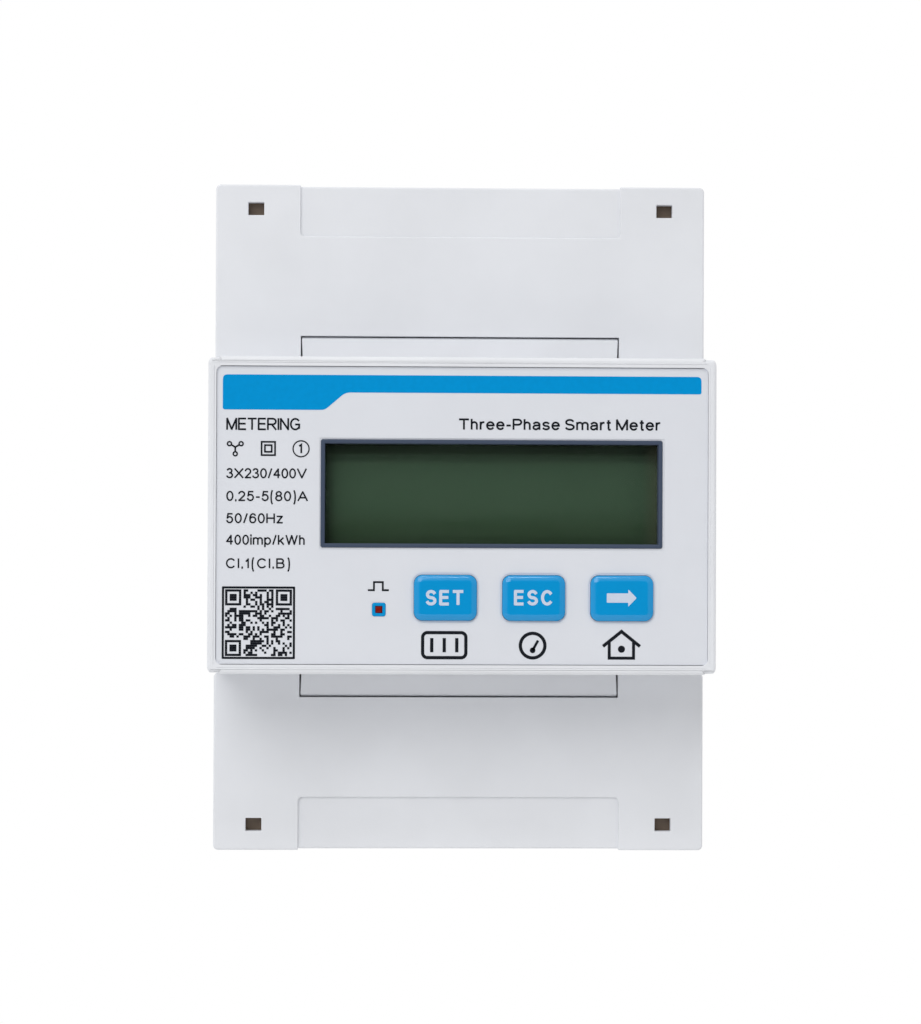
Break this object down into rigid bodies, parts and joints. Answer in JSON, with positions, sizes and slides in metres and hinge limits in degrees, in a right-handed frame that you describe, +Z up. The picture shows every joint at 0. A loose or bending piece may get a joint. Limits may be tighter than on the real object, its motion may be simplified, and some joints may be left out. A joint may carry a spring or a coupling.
{
  "type": "smart electric meter",
  "caption": "Rail-mounted three-phase electric meter with a display, keys, a pulse lamp, clamp terminals and lift-off terminal covers.",
  "frame": {"origin": "centre of the face that rests on the mounting rail's front, at mid-width and on the rail's centre line", "axes": "+Y towards the rail and the wall behind it, -Y out of the front panel, +Z up the meter's height, +X to the right as seen from the front"},
  "size_m": [0.072, 0.0664, 0.098],
  "materials": {
    "housing_white": "fine satin moulded polycarbonate",
    "cover_white": "fine satin moulded polycarbonate",
    "block_grey": "moulded, satin",
    "panel_print": "screen-printed film, semi-gloss",
    "clip_grey": "glass-filled nylon",
    "spring_steel": "bright drawn wire",
    "plated_steel": "zinc plated",
    "copper_bar": "rolled copper",
    "core_resin": "potting resin",
    "frame_grey": "blue-grey, satin",
    "clear_pane": "clear acrylic",
    "display_green": "liquid-crystal glass, unlit",
    "light_guide": "milky acrylic",
    "key_blue": "glossy silicone-coated keys",
    "black_resin": "moulded resin",
    "plunger_resin": "moulded nylon",
    "lens_red": "tinted clear resin",
    "diode_resin": "clear resin",
    "board_green": "solder mask on glass-epoxy board",
    "transformer_core": "varnished laminations",
    "capacitor_can": "sleeved can",
    "varistor_blue": "epoxy dip"
  },
  "bodies": {
    "housing": {"rear_case": "housing_white", "upper_terminal_block": "block_grey", "lower_terminal_block": "block_grey", "signal_terminal_block": "block_grey", "middle_housing": "housing_white", "front_cover": "housing_white", "panel_overlay": "panel_print", "display_frame": "frame_grey", "display_pane": "clear_pane", "display_glass": "display_green", "light_guide": "light_guide", "display_board": "board_green", "main_board": "board_green", "board_header": "black_resin", "metering_chip": "black_resin", "supply_transformer": "transformer_core", "backup_capacitor": "capacitor_can", "surge_varistor": "varistor_blue", "phase_bar_1": "copper_bar", "phase_bar_2": "copper_bar", "phase_bar_3": "copper_bar", "neutral_bar": "copper_bar", "current_transformer_1": "core_resin", "current_transformer_2": "core_resin", "current_transformer_3": "core_resin", "set_switch": "black_resin", "escape_switch": "black_resin", "arrow_switch": "black_resin", "pulse_lens": "lens_red", "pulse_diode": "diode_resin", "rail_clip_spring": "spring_steel"},
    "upper_cover": {"upper_terminal_cover": "cover_white"},
    "lower_cover": {"lower_terminal_cover": "cover_white"},
    "clip": {"rail_clip": "clip_grey"},
    "set_button": {"set_key": "key_blue", "set_plunger": "plunger_resin"},
    "escape_button": {"escape_key": "key_blue", "escape_plunger": "plunger_resin"},
    "arrow_button": {"arrow_key": "key_blue", "arrow_plunger": "plunger_resin"},
    "upper_clamp_screw_1": {"upper_screw_1": "plated_steel"},
    "upper_clamp_1": {"upper_cage_1": "plated_steel"},
    "upper_clamp_screw_2": {"upper_screw_2": "plated_steel"},
    "upper_clamp_2": {"upper_cage_2": "plated_steel"},
    "upper_clamp_screw_3": {"upper_screw_3": "plated_steel"},
    "upper_clamp_3": {"upper_cage_3": "plated_steel"},
    "upper_clamp_screw_4": {"upper_screw_4": "plated_steel"},
    "upper_clamp_4": {"upper_cage_4": "plated_steel"},
    "lower_clamp_screw_1": {"lower_screw_1": "plated_steel"},
    "lower_clamp_1": {"lower_cage_1": "plated_steel"},
    "lower_clamp_screw_2": {"lower_screw_2": "plated_steel"},
    "lower_clamp_2": {"lower_cage_2": "plated_steel"},
    "lower_clamp_screw_3": {"lower_screw_3": "plated_steel"},
    "lower_clamp_3": {"lower_cage_3": "plated_steel"},
    "lower_clamp_screw_4": {"lower_screw_4": "plated_steel"},
    "lower_clamp_4": {"lower_cage_4": "plated_steel"},
    "signal_clamp_screw_1": {"signal_screw_1": "plated_steel"},
    "signal_clamp_screw_2": {"signal_screw_2": "plated_steel"},
    "signal_clamp_screw_3": {"signal_screw_3": "plated_steel"},
    "signal_clamp_screw_4": {"signal_screw_4": "plated_steel"}
  },
  "joints": [
    {"name": "upper_cover_off", "type": "slide", "parent": "housing", "child": "upper_cover", "axis": [0, -1, 0], "range_m": [0, 0.035]},
    {"name": "lower_cover_off", "type": "slide", "parent": "housing", "child": "lower_cover", "axis": [0, -1, 0], "range_m": [0, 0.035]},
    {"name": "clip_pull", "type": "slide", "parent": "housing", "child": "clip", "axis": [0, 0, -1], "range_m": [0, 0.004], "stiffness_N_per_m": 1500, "springref_m": -0.002, "deforming": ["rail_clip_spring"]},
    {"name": "set_press", "type": "slide", "parent": "housing", "child": "set_button", "axis": [0, 1, 0], "range_m": [0, 0.0005], "stiffness_N_per_m": 3000, "springref_m": -0.0005},
    {"name": "escape_press", "type": "slide", "parent": "housing", "child": "escape_button", "axis": [0, 1, 0], "range_m": [0, 0.0005], "stiffness_N_per_m": 3000, "springref_m": -0.0005},
    {"name": "arrow_press", "type": "slide", "parent": "housing", "child": "arrow_button", "axis": [0, 1, 0], "range_m": [0, 0.0005], "stiffness_N_per_m": 3000, "springref_m": -0.0005},
    {"name": "upper_screw_turn_1", "type": "hinge", "parent": "housing", "child": "upper_clamp_screw_1", "pos_m": [-0.027, -0.0273, 0.03562], "axis": [0, 1, 0], "range_deg": [0, 2250]},
    {"name": "upper_cage_lift_1", "type": "slide", "parent": "housing", "child": "upper_clamp_1", "axis": [0, -1, 0], "range_m": [0, 0.005]},
    {"name": "upper_screw_turn_2", "type": "hinge", "parent": "housing", "child": "upper_clamp_screw_2", "pos_m": [-0.009, -0.0273, 0.03562], "axis": [0, 1, 0], "range_deg": [0, 2250]},
    {"name": "upper_cage_lift_2", "type": "slide", "parent": "housing", "child": "upper_clamp_2", "axis": [0, -1, 0], "range_m": [0, 0.005]},
    {"name": "upper_screw_turn_3", "type": "hinge", "parent": "housing", "child": "upper_clamp_screw_3", "pos_m": [0.009, -0.0273, 0.03562], "axis": [0, 1, 0], "range_deg": [0, 2250]},
    {"name": "upper_cage_lift_3", "type": "slide", "parent": "housing", "child": "upper_clamp_3", "axis": [0, -1, 0], "range_m": [0, 0.005]},
    {"name": "upper_screw_turn_4", "type": "hinge", "parent": "housing", "child": "upper_clamp_screw_4", "pos_m": [0.027, -0.0273, 0.03562], "axis": [0, 1, 0], "range_deg": [0, 2250]},
    {"name": "upper_cage_lift_4", "type": "slide", "parent": "housing", "child": "upper_clamp_4", "axis": [0, -1, 0], "range_m": [0, 0.005]},
    {"name": "lower_screw_turn_1", "type": "hinge", "parent": "housing", "child": "lower_clamp_screw_1", "pos_m": [-0.027, -0.0273, -0.03562], "axis": [0, 1, 0], "range_deg": [0, 2250]},
    {"name": "lower_cage_lift_1", "type": "slide", "parent": "housing", "child": "lower_clamp_1", "axis": [0, -1, 0], "range_m": [0, 0.005]},
    {"name": "lower_screw_turn_2", "type": "hinge", "parent": "housing", "child": "lower_clamp_screw_2", "pos_m": [-0.009, -0.0273, -0.03562], "axis": [0, 1, 0], "range_deg": [0, 2250]},
    {"name": "lower_cage_lift_2", "type": "slide", "parent": "housing", "child": "lower_clamp_2", "axis": [0, -1, 0], "range_m": [0, 0.005]},
    {"name": "lower_screw_turn_3", "type": "hinge", "parent": "housing", "child": "lower_clamp_screw_3", "pos_m": [0.009, -0.0273, -0.03562], "axis": [0, 1, 0], "range_deg": [0, 2250]},
    {"name": "lower_cage_lift_3", "type": "slide", "parent": "housing", "child": "lower_clamp_3", "axis": [0, -1, 0], "range_m": [0, 0.005]},
    {"name": "lower_screw_turn_4", "type": "hinge", "parent": "housing", "child": "lower_clamp_screw_4", "pos_m": [0.027, -0.0273, -0.03562], "axis": [0, 1, 0], "range_deg": [0, 2250]},
    {"name": "lower_cage_lift_4", "type": "slide", "parent": "housing", "child": "lower_clamp_4", "axis": [0, -1, 0], "range_m": [0, 0.005]},
    {"name": "signal_screw_turn_1", "type": "hinge", "parent": "housing", "child": "signal_clamp_screw_1", "pos_m": [-0.0075, -0.0403, 0.02935], "axis": [0, 1, 0], "range_deg": [0, 1080]},
    {"name": "signal_screw_turn_2", "type": "hinge", "parent": "housing", "child": "signal_clamp_screw_2", "pos_m": [-0.0025, -0.0403, 0.02935], "axis": [0, 1, 0], "range_deg": [0, 1080]},
    {"name": "signal_screw_turn_3", "type": "hinge", "parent": "housing", "child": "signal_clamp_screw_3", "pos_m": [0.0025, -0.0403, 0.02935], "axis": [0, 1, 0], "range_deg": [0, 1080]},
    {"name": "signal_screw_turn_4", "type": "hinge", "parent": "housing", "child": "signal_clamp_screw_4", "pos_m": [0.0075, -0.0403, 0.02935], "axis": [0, 1, 0], "range_deg": [0, 1080]}
  ],
  "couplings": [
    {"joint": "upper_screw_turn_1", "follows": "upper_cage_lift_1", "rad_per_m": 7854},
    {"joint": "upper_screw_turn_2", "follows": "upper_cage_lift_2", "rad_per_m": 7854},
    {"joint": "upper_screw_turn_3", "follows": "upper_cage_lift_3", "rad_per_m": 7854},
    {"joint": "upper_screw_turn_4", "follows": "upper_cage_lift_4", "rad_per_m": 7854},
    {"joint": "lower_screw_turn_1", "follows": "lower_cage_lift_1", "rad_per_m": 7854},
    {"joint": "lower_screw_turn_2", "follows": "lower_cage_lift_2", "rad_per_m": 7854},
    {"joint": "lower_screw_turn_3", "follows": "lower_cage_lift_3", "rad_per_m": 7854},
    {"joint": "lower_screw_turn_4", "follows": "lower_cage_lift_4", "rad_per_m": 7854}
  ]
}
